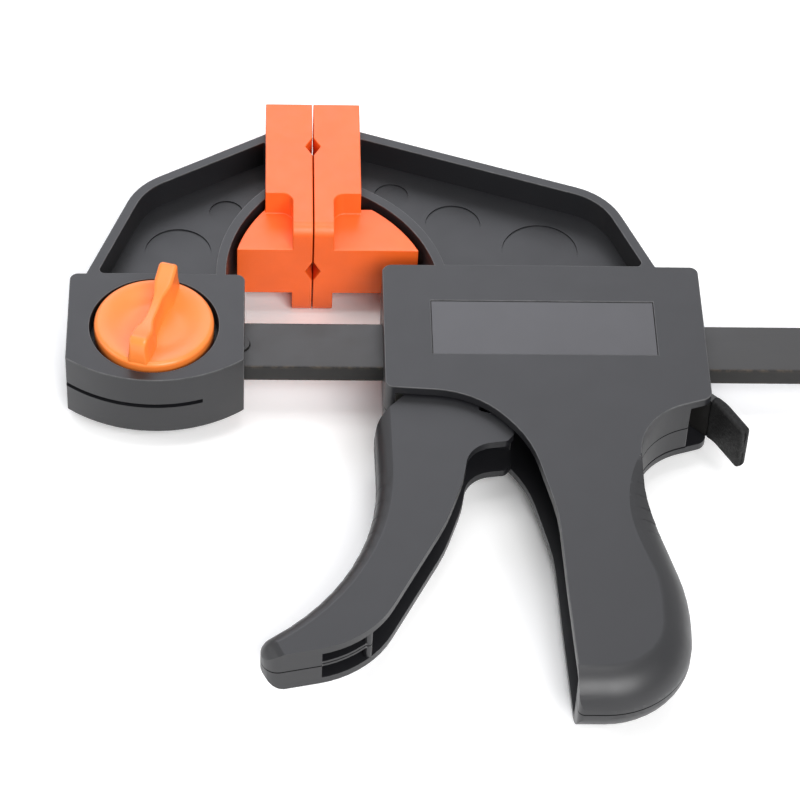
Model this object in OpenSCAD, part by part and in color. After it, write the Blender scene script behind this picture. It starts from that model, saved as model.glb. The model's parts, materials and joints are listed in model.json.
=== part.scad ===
// Quick release bar clamp lying on its side, all sizes in millimetres.
// X runs along the bar (the sliding head opens toward +X), Y up the jaws, Z across the thickness.
// The origin is on the bar's centre line where the two pads meet.

/* [Bar] */
// Width of the flat steel bar, measured up the jaws
bar_w = 18; // [16:0.5:19]
// Thickness of the flat steel bar
bar_t = 6; // [5:0.25:6.5]
// Largest travel of the sliding head along the bar
opening = 200; // [100:5:400]
// Diameter of the stop pins pressed through the bar
stop_pin_d = 6; // [4:0.5:7]
// Height a stop pin stands out of each face of the bar
stop_pin_proud = 0.5; // [0.3:0.1:0.9]

/* [Heads] */
// Thickness of both heads across the bar
head_t = 22; // [22:0.5:28]
// Distance from the pads' meeting plane to each head
head_gap = 20.5; // [18:0.5:24]
// Width of the fixed head along the bar
fixed_head_w = 52; // [50:1:60]
// Height of the fixed head above the bar's centre line
fixed_head_top = 21.2; // [20.5:0.1:23]
// Height of the fixed head's corners below the bar's centre line
fixed_head_corner = 13.5; // [12.5:0.5:16]
// Height of the fixed head's curved belly below the bar's centre line
fixed_head_belly = 22.3; // [20:0.1:26]
// Height of the slit in the fixed head's curved wall
slit_h = 1.5; // [0.8:0.1:2.5]
// Width of the sliding head's housing along the bar
housing_w = 95; // [94:0.5:98]
// Height of the sliding head's housing above the bar's centre line
housing_top = 26; // [25.5:0.1:28]
// Thickness of the housing's side walls
side_wall = 2.7; // [2:0.1:2.9]
// Radius that rounds the edges round the grip's back and butt
grip_round = 11; // [6:0.5:11]

/* [Jaws] */
// Width of the raised rim round each jaw arm
rim_w = 3.1; // [2.5:0.1:4]
// Thickness of the web inside each jaw arm
web_t = 3.6; // [2.4:0.2:6]
// Radius of the throat under each jaw arm
throat_r = 49; // [48:0.25:50]
// Depth of the round marks in the webs
web_mark_depth = 0.4; // [0.2:0.1:0.8]

/* [Pads] */
// Height of the pads across the thickness
pad_t = 36; // [30:1:44]
// Height of the pads' tips above the bar's centre line
pad_top = 88.8; // [86:0.2:100]
// Height of the pads' lower ends above the bar's centre line
pad_bottom = 33.5; // [31:0.1:37]
// Thickness of the thin face plate of a pad
pad_plate = 6; // [4.5:0.25:8]
// Depth of the thick block of a pad along the bar
pad_block = 14.5; // [13:0.5:17]
// Depth of the V grooves in the pad faces
groove_depth = 2.1; // [1:0.1:3]
// Half the width of the V grooves at the pad faces
groove_half = 3.8; // [2:0.1:5]
// Gap between the closed pads
closed_gap = 0.4; // [0.4:0.1:2]

/* [Knob] */
// Diameter of the knob on the fixed head
knob_d = 35.2; // [30:0.2:36.4]
// Gap round the knob in its recess
knob_gap = 1.4; // [0.6:0.1:1.8]
// Height of the knob's rim above the head's face
knob_rim_proud = 1.7; // [0.5:0.1:4]
// Height of the knob's grip above the head's face
knob_grip_h = 10.6; // [8:0.2:16]
// Width of the knob's grip at its two ends
knob_grip_w = 5.8; // [4:0.2:7.5]
// Width of the knob's grip at its waist
knob_waist = 2.8; // [2:0.1:3.9]
// Angle of the knob's grip from the jaw direction
knob_angle = -14.8; // [-40:0.2:40]

/* [Trigger] */
// Thickness of the trigger
trigger_t = 15.2; // [14:0.1:15.6]
// Diameter of the trigger's pivot pin
trigger_pin_d = 5; // [4:0.25:6]
// Thickness of the middle rib in the trigger's hollow back
trigger_rib = 2; // [1.2:0.1:4]
// Radius that rounds the trigger's front edges
trigger_round = 6; // [3:0.2:6]

/* [Release lever] */
// Thickness of the steel release lever
lever_t = 2.6; // [2:0.1:2.8]
// Width of the release lever across the housing
lever_w = 15; // [13:0.25:15.5]
// Thickness of the soft coat on the lever's tail
coat_t = 0.4; // [0.3:0.05:0.7]

/* [Springs and plates] */
// Thickness of each of the two drive plates
plate_t = 3; // [2:0.1:3.2]
// Wire diameter of both coil springs
wire_d = 1.2; // [0.8:0.1:1.5]
// Mean diameter of both coil springs
coil_d = 7.8; // [7:0.1:8.4]

/* [Label] */
// Length of the bare label plate
label_w = 66; // [50:1:70]
// Height of the bare label plate
label_h = 21.4; // [16:0.2:22]
// Depth of the label recess
label_depth = 0.8; // [0.5:0.1:1.2]
// Thickness of the label plate
label_t = 0.5; // [0.3:0.05:0.8]

/* [Hidden] */
$fn = 64;

eps = 0.01;

// Reach of a cut that runs out of its piece
far = 150;
half_t = head_t / 2;
bar_top = bar_t / 2;
bar_edge = bar_w / 2;
slide_gap = 0.2;
fit_gap = 0.1;
cavity_half = half_t - side_wall;
face_x = closed_gap / 2;

// Fixed head
fixed_right = -head_gap;
fixed_left = fixed_right - fixed_head_w;
fixed_mid = (fixed_left + fixed_right) / 2;
knob_x = fixed_mid - 0.5;
belly_sag = fixed_head_belly - fixed_head_corner;
belly_r = (pow(fixed_head_w / 2, 2) + pow(belly_sag, 2)) / (2 * belly_sag);
fixed_throat = [22.9, 22.1];
slit_len = 40;
slit_depth = 7;

notch_half = stop_pin_d / 2 + fit_gap;
notch_top = bar_top + 1.1;

// Lock shaft of the knob
shaft_r = 4;
shaft_flat = 5;
eye_gap = 0.1;
end_to_eye = 24.7;
eye_to_pin = 26;
knob_floor = 1.4;
recess_floor_z = bar_top + slide_gap + knob_floor;
knob_bore_r = 5.5;
clip_recess_r = 7.5;
clip_recess_depth = 3.4;

// Bar ends
bar_left = knob_x - end_to_eye;
pin_left_x = fixed_right - 1.5;
housing_left = head_gap;
housing_right = housing_left + housing_w;
pin_right_x = housing_right + opening + stop_pin_d / 2 + 1;
eye_right_x = pin_right_x + eye_to_pin;
bar_right = eye_right_x + end_to_eye;

// Sliding head
sliding_throat = [-11.1, 14.3];
wall = 3;
pivot = [37.5, 16];
pivot_boss_r = 6;
pin_sink = 1.7;
nose = [48, -19.5];
nose_r = 3;
plate_x = 51.3;
plate_gap = 0.1;
plate_low = -22.3;
plate_high = 13;
spring_y = -14.6;
drive_rib_x = housing_right - 31.5;
rib_w = 3;
rib_low = -23;
drive_spring_x = plate_x + 2 * plate_t + plate_gap;
lever_pivot = [housing_right - 12.2, 21];
lever_tilt = 6;
lever_rib_t = 2.2;
lever_rib_low = 16.5;
lever_ribs = [lever_pivot.x - 1.7 - lever_rib_t, lever_pivot.x + 2.1];
lever_door_x = housing_right - 6.2;
lever_door_top = -14;
boss_r = 3.6;
screw_r = 1.5;
grip_back = housing_right - 11.5;
grip_neck = housing_right - 22.2;
grip_wall = 6;
butt_front = 70.8;
butt_low = -134.4;
butt_back = grip_back - 1.4;
butt_round = min(25, grip_back - butt_front - 8);
web_line_z = half_t - 3;
web_line_h = 0.6;
web_line_depth = 0.6;
housing_screw_points = [
    [26.3, 19.9],
    [grip_neck - 18.3, 19.9],
    [grip_neck - 5.5, -66],
    [grip_back - 10, -110],
    [76, -124]
];

// Waste taken beyond a rounded edge
edge_extra = 6;

// How far a rounded edge's circle passes outside the faces it joins
edge_land = 0.15;

// How far a chord along a rounded edge leaves its curve at most
edge_sag = 0.06;

// Tongues inside the pads, and the pads' own forms
tongue_end = 8.5;
tongue_low = 56;
tongue_high = 80;
tongue_half = 8;
block_low = 49.2;
block_fillet = 3.6;
rib_half = 9.3;
end_round = 3.5;
groove_y = 69.8;
pad_clear = 1.7;

// Knob
knob_top = half_t + knob_rim_proud;
knob_dish = 1.6;
knob_rim_w = 2.6;
knob_under = 0.8;
grip_half = knob_d / 2 - 0.6;
saddle_half = grip_half - 2;
grip_saddle = 3.4;
knob_shaft_top = half_t - 2;
shaft_low = -half_t + clip_recess_depth - 0.05;
washer_t = 0.8;
washer_r = 6.5;

// Flats round one turn of a coil and round its wire
coil_steps = 20;
coil_sides = 8;

// Screws, label, bar guides and the trigger's hollows
head_r = 3;
head_h = 2;
screw_seat = 4.5;
screw_len = 14;
label_x = (housing_left + housing_right) / 2 - 0.2;
label_y = 0.35;
guide_h = 12.5;
guide_w = 3.8;
cheek_gap = 0.5;
slot_floor = -bar_edge - 6.2;
channel_half = 5.2;
channel_end_x = 1.6;
channel_top = -27;
channel_shift = [2.8, -1.8];
rib_shift = [2.4, -1.4];
rib_band = [-6, 4];
rib_tip_band = [-0.7, 0.5];
tip_post = [14.3, -109.6];
tip_post_r = 1.2;

function unit(v) = v / norm(v);

// Points of the arc that rounds corner q between neighbours p and s
function corner_arc(p, q, s, r, n) =
    let (
        u = unit(p - q),
        v = unit(s - q),
        a = acos(max(-1, min(1, u * v))) / 2,
        c = q + unit(u + v) * r / sin(a),
        f = q + u * r / tan(a) - c,
        g = q + v * r / tan(a) - c,
        a0 = atan2(f.y, f.x),
        turn = (atan2(g.y, g.x) - a0 + 540) % 360 - 180
    )
    [for (i = [0:n]) c + r * [cos(a0 + turn * i / n), sin(a0 + turn * i / n)]];

// Outline through control corners [x, y, radius], each corner rounded by its own radius
function rounded(k, step = 6) =
    let (n = len(k))
    [for (i = [0:n - 1])
        let (
            p = [k[(i + n - 1) % n].x, k[(i + n - 1) % n].y],
            q = [k[i].x, k[i].y],
            s = [k[(i + 1) % n].x, k[(i + 1) % n].y],
            bend = 180 - acos(max(-1, min(1, unit(p - q) * unit(s - q))))
        )
        each (k[i].z == 0 ? [q] : corner_arc(p, q, s, k[i].z, max(1, ceil(bend / step))))];

// Control corners moved inward by d (corners run clockwise)
function inset(k, d) =
    let (n = len(k))
    [for (i = [0:n - 1])
        let (
            p = [k[(i + n - 1) % n].x, k[(i + n - 1) % n].y],
            q = [k[i].x, k[i].y],
            s = [k[(i + 1) % n].x, k[(i + 1) % n].y],
            u = unit(q - p),
            v = unit(s - q),
            side = u.x * v.y - u.y * v.x,
            m = unit([u.y, -u.x] + [v.y, -v.x]),
            move = d / (m * [u.y, -u.x])
        )
        [q.x + m.x * move, q.y + m.y * move, side > 0 ? k[i].z + (k[i].z > 0 ? d : 0)
            : max(k[i].z - d, 0.6)]];

// Both jaw arms, corners run clockwise from the outer foot
arm_round = 22;
pocket_r = 1.5;
fixed_arm_foot = [fixed_left + 4.6, 20.7];
fixed_arm_corner = [-53.8, 59.15];
sliding_arm_tip = [15, 84.1];
sliding_arm_corner = [90.4, 56.9];
sliding_arm_foot = [housing_right - 12.5, 25.4];

function fixed_arm(tip, foot, heel = 0) = [
    [fixed_arm_foot.x + (foot - fixed_arm_foot.y) * 0.367, foot, heel],
    [fixed_arm_corner.x, fixed_arm_corner.y, arm_round],
    [tip, fixed_arm_corner.y + (tip - fixed_arm_corner.x) * 0.6, 0],
    [tip, foot, 0]
];

function sliding_arm(tip, foot, heel = 0) = [
    [tip, foot, 0],
    [tip, sliding_arm_tip.y - (tip - sliding_arm_tip.x) * 0.361, 0],
    [sliding_arm_corner.x, sliding_arm_corner.y, arm_round],
    [sliding_arm_foot.x + (sliding_arm_foot.y - foot) * 0.4, foot, heel]
];

fixed_marks = [[-40.9, 39.4, 10.1], [-26.5, 56.9, 5.2]];
sliding_marks = [[24.4, 64.9, 5.35], [43.1, 52.5, 8.5], [69.3, 41.1, 11.6]];

housing_outline = [
    [housing_left, housing_top, 3],
    [housing_right, housing_top, 2.5],
    [housing_right, -27.4, 3.5],
    [grip_neck, -34.5, 20],
    [grip_neck, -64, 40],
    [grip_back, -96.5, 40],
    [butt_back, butt_low, butt_round],
    [butt_front, butt_low, 2],
    [69.1, -98, 120],
    [68.2, -72, 60],
    [61.7, -43.1, 38],
    [46.4, -25.6, 28],
    [housing_left, -23.8, 2.5]
];

cavity_outline = [
    [housing_left + wall, housing_top - wall, 2],
    [housing_right - wall, housing_top - wall, 2],
    [housing_right - wall, -24.4, 0],
    [grip_neck - grip_wall, -31.5, 23],
    [grip_neck - grip_wall, -65.2, 44],
    [grip_back - grip_wall, -97.7, 36],
    [butt_back - grip_wall, butt_low + grip_wall, butt_round - grip_wall],
    [housing_left + wall, butt_low + grip_wall, 0]
];

// Trigger's front, from the underside of the tip up to the pivot
trigger_front = [
    [-13.2, -121, 4.6],
    [-16.4, -114, 4.4],
    [18.2, -90, 70],
    [17.2, -33.5, 9],
    [25.6, -24.6, 8],
    [30.2, -13.5, 10]
];

trigger_back = [
    [31.6, 14, 0],
    [43.4, 14, 0],
    [45.5, -12, 0],
    [47.6, -22, 0],
    [47.6, -30, 1],
    [57.3, -32.9, 1.5],
    [57.3, -39.3, 1.5],
    [55.4, -41.7, 1.5],
    [44.3, -43.3, 9],
    [42.3, -56, 40],
    [36.9, -72, 60],
    [14.8, -115, 30]
];

trigger_outline = concat(trigger_back, trigger_front);

// Line down the grip's back and along its butt where the edge is rounded, running off at the top
grip_edge = [
    [grip_neck + 12.4, -46, 0],
    [grip_neck + 1.2, -61, 34],
    [grip_back, -97, 60],
    [butt_back, butt_low, butt_round],
    [50, butt_low, 0]
];

// Line past the trigger's tip and up its front where the edges are rounded
trigger_edge = [
    [-8.7, -130.8, 0],
    trigger_front[1],
    trigger_front[2],
    [17.2, -5, 0]
];

module outline(k) {
    polygon(rounded(k));
}

// Section that trims an edge to radius r in straight chords, its corner at the origin, waste toward +X
module edge_section(r, chords) {
    polygon(concat(
        [for (i = [0:chords])
            let (a = 90 - 90 * i / chords)
            [edge_land - r + r * cos(a), edge_land - r + r * sin(a)]],
        [
            [edge_extra, edge_land - r],
            [edge_extra, edge_land + 1],
            [edge_land - r, edge_land + 1]
        ]
    ));
}

// Bend in degrees between two chords of a curve of radius r
function chord_bend(r) = 2 * acos(1 - edge_sag / r);

// Points along the open line k, its corners rounded in chords
function line_points(k) = [
    [k[0].x, k[0].y],
    for (i = [1:len(k) - 2])
        let (
            p = [k[i - 1].x, k[i - 1].y],
            q = [k[i].x, k[i].y],
            s = [k[i + 1].x, k[i + 1].y],
            bend = 180 - acos(unit(p - q) * unit(s - q))
        )
        each corner_arc(p, q, s, k[i].z, ceil(bend / chord_bend(k[i].z))),
    [k[len(k) - 1].x, k[len(k) - 1].y]
];

// Waste left of the open line k at height z: take it away to round that edge to radius r
module edge_waste(k, r, z, chords) {
    line = line_points(k);
    lap = r * tan(chord_bend(r) / 2) + edge_land;
    for (i = [1:len(line) - 1]) {
        t = unit(line[i] - line[i - 1]);
        start = line[i - 1] - t * lap;
        translate([start.x, start.y, z])
            rotate([0, 0, atan2(t.y, t.x)])
                rotate([90, 0, 90])
                    linear_extrude(norm(line[i] - line[i - 1]) + 2 * lap)
                        edge_section(r, chords);
    }
}

module slab(z0, z1) {
    translate([0, 0, z0])
        linear_extrude(z1 - z0)
            children();
}

module round_at(p, r, z0, z1) {
    translate([p.x, p.y, z0])
        cylinder(r = r, h = z1 - z0);
}

module box(x0, x1, y0, y1, z0, z1) {
    translate([x0, y0, z0])
        cube([x1 - x0, y1 - y0, z1 - z0]);
}

// Flat bar with an open-ended slot and a round eye at both ends
module bar() {
    eye_r = shaft_r + eye_gap;
    slot_half = shaft_flat / 2 + eye_gap;
    color([0.18, 0.18, 0.19])
    difference() {
        box(bar_left, bar_right, -bar_edge, bar_edge, -bar_top, bar_top);
        box(bar_left - 1, knob_x, -slot_half, slot_half, -bar_top - 1, bar_top + 1);
        box(eye_right_x, bar_right + 1, -slot_half, slot_half, -bar_top - 1, bar_top + 1);
        round_at([knob_x, 0], eye_r, -bar_top - 1, bar_top + 1);
        round_at([eye_right_x, 0], eye_r, -bar_top - 1, bar_top + 1);
        round_at([pin_left_x, 0], stop_pin_d / 2, -bar_top - 1, bar_top + 1);
        round_at([pin_right_x, 0], stop_pin_d / 2, -bar_top - 1, bar_top + 1);
    }
}

module bar_stop_pins() {
    reach = bar_top + stop_pin_proud;
    color([0.2, 0.2, 0.2])
    for (x = [pin_left_x, pin_right_x])
        round_at([x, 0], stop_pin_d / 2, -reach, reach);
}

module fixed_arm_shape() {
    difference() {
        outline(fixed_arm(-pad_block, fixed_head_top - 1));
        translate(fixed_throat)
            circle(r = throat_r, $fn = 160);
    }
}

module fixed_pocket_shape() {
    foot = fixed_head_top + 0.2 - rim_w;
    difference() {
        outline(inset(fixed_arm(rim_w - pad_block, foot, rim_w + pocket_r), rim_w));
        translate(fixed_throat)
            circle(r = throat_r + rim_w, $fn = 160);
    }
}

// One-piece fixed jaw: block on the bar, webbed arm and a tongue for the pad
module fixed_jaw() {
    color([0.16, 0.165, 0.175])
    difference() {
        union() {
            slab(-half_t, half_t)
                intersection() {
                    outline([
                        [fixed_left, fixed_head_top, 2.5],
                        [fixed_right, fixed_head_top, 2.5],
                        [fixed_right, -fixed_head_belly - 1, 0],
                        [fixed_left, -fixed_head_belly - 1, 0]
                    ]);
                    translate([fixed_mid, belly_r - fixed_head_belly])
                        circle(r = belly_r, $fn = 160);
                }
            slab(-half_t, half_t)
                fixed_arm_shape();
            box(-pad_block - 1, -tongue_end, tongue_low, tongue_high, -tongue_half, tongue_half);
        }
        for (s = [-1, 1])
            mirror([0, 0, s > 0 ? 0 : 1]) {
                slab(web_t / 2, half_t + 1)
                    fixed_pocket_shape();
                for (m = fixed_marks)
                    round_at(m, m.z, web_t / 2 - web_mark_depth, web_t / 2 + 1);
            }
        box(
            fixed_left - 1, fixed_right + 1,
            -bar_edge - slide_gap, bar_edge + slide_gap,
            -bar_top - slide_gap, bar_top + slide_gap
        );
        round_at([pin_left_x, 0], notch_half, -notch_top, notch_top);
        box(pin_left_x, fixed_right + 1, -notch_half, notch_half, -notch_top, notch_top);
        round_at([knob_x, 0], knob_d / 2 + knob_gap, recess_floor_z, half_t + 1);
        round_at([knob_x, 0], knob_bore_r + fit_gap, bar_top, half_t);
        round_at([knob_x, 0], shaft_r + eye_gap, -half_t, 0);
        round_at([knob_x, 0], clip_recess_r, -half_t - 1, -half_t + clip_recess_depth);
        difference() {
            box(
                fixed_left - 1, fixed_left + slit_len,
                -fixed_head_belly - 1, 1 - fixed_head_corner,
                -slit_h / 2, slit_h / 2
            );
            round_at([fixed_mid, belly_r - fixed_head_belly], belly_r - slit_depth, -2, 2);
        }
    }
}

// Soft pad: thin face plate, thick block that wraps the arm's tip, and a rib under the arm
module pad(throat, r, side) {
    difference() {
        mirror([side > 0 ? 0 : 1, 0, 0])
        difference() {
            union() {
                box(face_x, pad_plate + face_x, pad_bottom, pad_top, -pad_t / 2, pad_t / 2);
                slab(-pad_t / 2, pad_t / 2)
                    difference() {
                        polygon([
                            [pad_plate - 1, pad_top],
                            [pad_block, pad_top],
                            [pad_block, block_low],
                            [pad_plate + face_x + block_fillet, block_low],
                            [pad_plate + face_x, block_low - block_fillet],
                            [pad_plate - 1, block_low - block_fillet]
                        ]);
                        translate([pad_plate + face_x + block_fillet, block_low - block_fillet])
                            circle(r = block_fillet);
                    }
                slab(-rib_half, rib_half)
                    intersection() {
                        translate([0, pad_bottom])
                            square([far, block_low + 2 - pad_bottom]);
                        translate([throat.x * side, throat.y])
                            circle(r = r, $fn = 160);
                    }
            }
            box(
                tongue_end, pad_block + 1, tongue_low - fit_gap, tongue_high + fit_gap,
                -tongue_half - fit_gap, tongue_half + fit_gap
            );
            for (s = [-1, 1])
                mirror([0, 0, s > 0 ? 0 : 1])
                    translate([-1, pad_bottom, pad_t / 2])
                        rotate([0, 90, 0])
                            linear_extrude(pad_block)
                                difference() {
                                    translate([-1, -1])
                                        square([end_round + 1, end_round + 1]);
                                    translate([end_round, end_round])
                                        circle(r = end_round);
                                }
            translate([face_x, groove_y, -pad_t])
                linear_extrude(2 * pad_t)
                    polygon([[-1, -groove_half], [0, -groove_half], [groove_depth, 0],
                        [0, groove_half], [-1, groove_half]]);
            translate([face_x, pad_top + 1, 0])
                rotate([90, 0, 0])
                    linear_extrude(pad_top)
                        polygon([[-1, -groove_half], [0, -groove_half], [groove_depth, 0],
                            [0, groove_half], [-1, groove_half]]);
            box(-1, face_x, pad_bottom - 1, pad_top + 1, -pad_t, pad_t);
        }
    }
}

module fixed_jaw_pad() {
    color([0.95, 0.33, 0.12])
        pad(fixed_throat, throat_r - pad_clear, -1);
}

module sliding_jaw_pad() {
    color([0.95, 0.33, 0.12])
        pad(sliding_throat, throat_r - pad_clear - 0.3, 1);
}

// Dished disc with a tall waisted grip across it
module knob() {
    dish_r0 = knob_d / 2 - knob_rim_w;
    dish_r = (pow(dish_r0, 2) + pow(knob_dish, 2)) / (2 * knob_dish);
    waist_cut = (knob_grip_w - knob_waist) / 2;
    waist_r = (pow(grip_half, 2) + pow(waist_cut, 2)) / (2 * waist_cut);
    saddle_r = (pow(saddle_half, 2) + pow(grip_saddle, 2)) / (2 * grip_saddle);
    top = half_t + knob_grip_h;
    color([0.95, 0.42, 0.16])
    translate([knob_x, 0, 0])
    rotate([0, 0, knob_angle])
    difference() {
        union() {
            difference() {
                round_at([0, 0], knob_d / 2, recess_floor_z + knob_under, knob_top);
                translate([0, 0, knob_top + dish_r - knob_dish])
                    sphere(r = dish_r, $fn = 128);
            }
            round_at([0, 0], knob_bore_r + 4, recess_floor_z, knob_top - knob_dish - 1);
            round_at([0, 0], knob_bore_r, bar_top + 0.3, recess_floor_z + 1);
            difference() {
                intersection() {
                    box(
                        -knob_grip_w / 2, knob_grip_w / 2, -grip_half, grip_half,
                        knob_top - knob_dish - 1, top
                    );
                    round_at([0, 0], grip_half + 0.2, 0, top + 1);
                }
                for (s = [-1, 1])
                    round_at([s * (knob_waist / 2 + waist_r), 0], waist_r, 0, top + 1, $fn = 160);
                translate([0, 0, top + saddle_r - grip_saddle])
                    rotate([0, 90, 0])
                        cylinder(r = saddle_r, h = 2 * knob_grip_w, center = true, $fn = 128);
            }
        }
        round_at([0, 0], shaft_r, 0, knob_shaft_top);
    }
}

// Steel lock shaft with two flats where it crosses the bar
module knob_shaft() {
    color([0.7, 0.7, 0.72])
    translate([knob_x, 0, 0])
    difference() {
        round_at([0, 0], shaft_r, shaft_low, knob_shaft_top);
        for (s = [-1, 1])
            translate([s * (shaft_flat / 2 + shaft_r / 2), 0, 0])
                cube([shaft_r, 2 * shaft_r + 1, bar_t + 0.8], center = true);
        round_at([0, 0], screw_r, shaft_low - 1, shaft_low + 6);
    }
}

module knob_washer() {
    color([0.72, 0.72, 0.74])
    translate([knob_x, 0, 0])
    difference() {
        round_at([0, 0], washer_r, shaft_low - washer_t, shaft_low);
        round_at([0, 0], screw_r + 0.1, shaft_low - washer_t - 1, shaft_low + 1);
    }
}

// Pan head screw pointing toward +Z with a cross recess, its head's seat at z = 0
module screw(length) {
    difference() {
        union() {
            round_at([0, 0], head_r, -head_h, 0);
            round_at([0, 0], screw_r, -eps, length);
        }
        for (a = [0, 90])
            rotate([0, 0, a])
                box(-head_r * 0.6, head_r * 0.6, -0.35, 0.35, -head_h - 1, -head_h + 1);
    }
}

module knob_screw() {
    color([0.7, 0.7, 0.72])
        translate([knob_x, 0, shaft_low - washer_t])
            screw(6);
}

// One half of the housing with its half of the jaw arm, drawn for z > 0
module housing_half(upper) {
    difference() {
        union() {
            difference() {
                union() {
                    slab(0, half_t)
                        outline(housing_outline);
                    slab(0, half_t)
                        sliding_arm_shape();
                    box(tongue_end, pad_block + 1, tongue_low, tongue_high, 0, tongue_half);
                }
                slab(web_t / 2, half_t + 1)
                    sliding_pocket_shape();
                slab(-1, cavity_half)
                    outline(cavity_outline);
                box(lever_door_x, housing_right + 1, -far, lever_door_top, -1, cavity_half);
                edge_waste(grip_edge, grip_round, half_t, 10);
            }
            box(drive_rib_x, drive_rib_x + rib_w, rib_low, -bar_edge - 0.5, 0, cavity_half);
            for (x = lever_ribs)
                box(x, x + lever_rib_t, lever_rib_low, housing_top - wall, 0, cavity_half);
            for (p = housing_screw_points)
                round_at(p, boss_r, 0, cavity_half + eps);
        }
        for (m = sliding_marks)
            round_at(m, m.z, web_t / 2 - web_mark_depth, web_t / 2 + 1);
        box(
            housing_left - 1, housing_right + 1,
            -bar_edge - slide_gap, bar_edge + slide_gap, -1, bar_top + slide_gap
        );
        round_at(pivot, trigger_pin_d / 2, 0, cavity_half + pin_sink);
        if (upper)
            for (p = housing_screw_points)
                round_at(p, screw_r - 0.05, -1, screw_len - half_t + screw_seat + 0.5);
    }
}

module sliding_arm_shape() {
    difference() {
        outline(sliding_arm(pad_block, housing_top - 1));
        translate(sliding_throat)
            circle(r = throat_r - 0.3, $fn = 160);
    }
}

module sliding_pocket_shape() {
    foot = housing_top + 0.2 - rim_w;
    difference() {
        outline(inset(sliding_arm(pad_block - rim_w, foot, rim_w + pocket_r), rim_w));
        translate(sliding_throat)
            circle(r = throat_r - 0.3 + rim_w, $fn = 160);
    }
}

module housing_upper() {
    color([0.16, 0.165, 0.175])
    difference() {
        housing_half(true);
        box(
            label_x - label_w / 2 - fit_gap, label_x + label_w / 2 + fit_gap,
            label_y - label_h / 2 - fit_gap, label_y + label_h / 2 + fit_gap,
            half_t - label_depth, half_t + 1
        );
    }
}

module housing_lower() {
    color([0.15, 0.155, 0.165])
    mirror([0, 0, 1])
    difference() {
        housing_half(false);
        for (p = housing_screw_points) {
            round_at(p, screw_r + 0.2, -1, half_t + 1);
            round_at(p, head_r + 0.3, half_t - screw_seat, half_t + 1);
        }
        slab(web_line_z, web_line_z + web_line_h)
            difference() {
                translate([grip_neck - 1, -58])
                    square([lever_door_x - grip_neck + 1, 58 - 20]);
                outline(inset(housing_outline, web_line_depth));
            }
    }
}

module housing_screws() {
    color([0.6, 0.6, 0.62])
    for (p = housing_screw_points)
        translate([p.x, p.y, screw_seat - half_t])
            screw(screw_len);
}

module label_plate() {
    color([0.28, 0.28, 0.29])
        box(
            label_x - label_w / 2, label_x + label_w / 2,
            label_y - label_h / 2, label_y + label_h / 2,
            half_t - label_depth, half_t - label_depth + label_t
        );
}

// Frame round the bar inside one end wall of the housing
module guide(x0, x1) {
    difference() {
        box(x0, x1, -guide_h, guide_h, -cavity_half, cavity_half);
        box(
            x0 - 1, x1 + 1, -bar_edge - 0.1, bar_edge + 0.1,
            -bar_top - 0.1, bar_top + 0.1
        );
    }
}

module bar_guide_front() {
    color([0.75, 0.74, 0.7])
        guide(housing_left + wall, housing_left + wall + guide_w);
}

module bar_guide_rear() {
    color([0.75, 0.74, 0.7])
        guide(housing_right - wall - guide_w, housing_right - wall);
}

// Moulded trigger: two cheeks over the bar, a nose for the drive plates, a hollow ribbed back
module trigger() {
    half = trigger_t / 2;
    color([0.17, 0.175, 0.185])
    difference() {
        union() {
            difference() {
                union() {
                    difference() {
                        slab(-half, half)
                            outline(trigger_outline);
                        for (s = [0, 1])
                            mirror([0, 0, s])
                                edge_waste(trigger_edge, trigger_round, half, 6);
                    }
                    round_at(pivot, pivot_boss_r, -cavity_half + 0.3, cavity_half - 0.3);
                    round_at(nose, nose_r, -half, half);
                }
                slab(-channel_half, channel_half)
                    intersection() {
                        translate(channel_shift)
                            outline(trigger_outline);
                        translate([channel_end_x, channel_top - far])
                            square(far);
                    }
                box(
                    housing_left, plate_x + 5, slot_floor, housing_top,
                    -bar_top - cheek_gap, bar_top + cheek_gap
                );
            }
            middle_rib(rib_band, far);
            middle_rib(rib_tip_band, tip_post.x - channel_end_x + channel_half);
            round_at(tip_post, tip_post_r, -channel_half - eps, channel_half + eps);
        }
        round_at(pivot, trigger_pin_d / 2 + 0.1, -half_t, half_t);
    }
}

// Rib down the middle of the trigger's hollow back, as deep as the band leaves it
module middle_rib(band, length) {
    slab(-trigger_rib / 2, trigger_rib / 2)
        intersection() {
            translate(rib_shift)
                outline(trigger_outline);
            translate(band)
                outline(trigger_outline);
            translate([channel_end_x - channel_half, channel_top + 1 - far])
                square([length, far]);
        }
}

module trigger_pin() {
    reach = cavity_half + pin_sink;
    color([0.7, 0.7, 0.72])
        round_at(pivot, trigger_pin_d / 2, -reach, reach);
}

// Steel plate hanging on the bar, pushed along by the trigger's nose
module drive_plate(x) {
    difference() {
        box(x, x + plate_t, plate_low, plate_high, -cavity_half + 0.5, cavity_half - 0.5);
        box(
            x - 1, x + plate_t + 1, -bar_edge - 0.3, bar_edge + 0.3,
            -bar_top - 0.3, bar_top + 0.3
        );
    }
}

module drive_plate_front() {
    color([0.62, 0.62, 0.64])
        drive_plate(plate_x);
}

module drive_plate_rear() {
    color([0.62, 0.62, 0.64])
        drive_plate(plate_x + plate_t + plate_gap);
}

// Height of a coil's middle line after t of its turns, both end turns closed
function coil_rise(t, turns, span) =
    let (
        closed = wire_d * 1.04,
        open = (span - 2 * closed) / (turns - 2)
    )
    t < 1 ? closed * t : t > turns - 1 ? span - closed * (turns - t) : closed + open * (t - 1);

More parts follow.
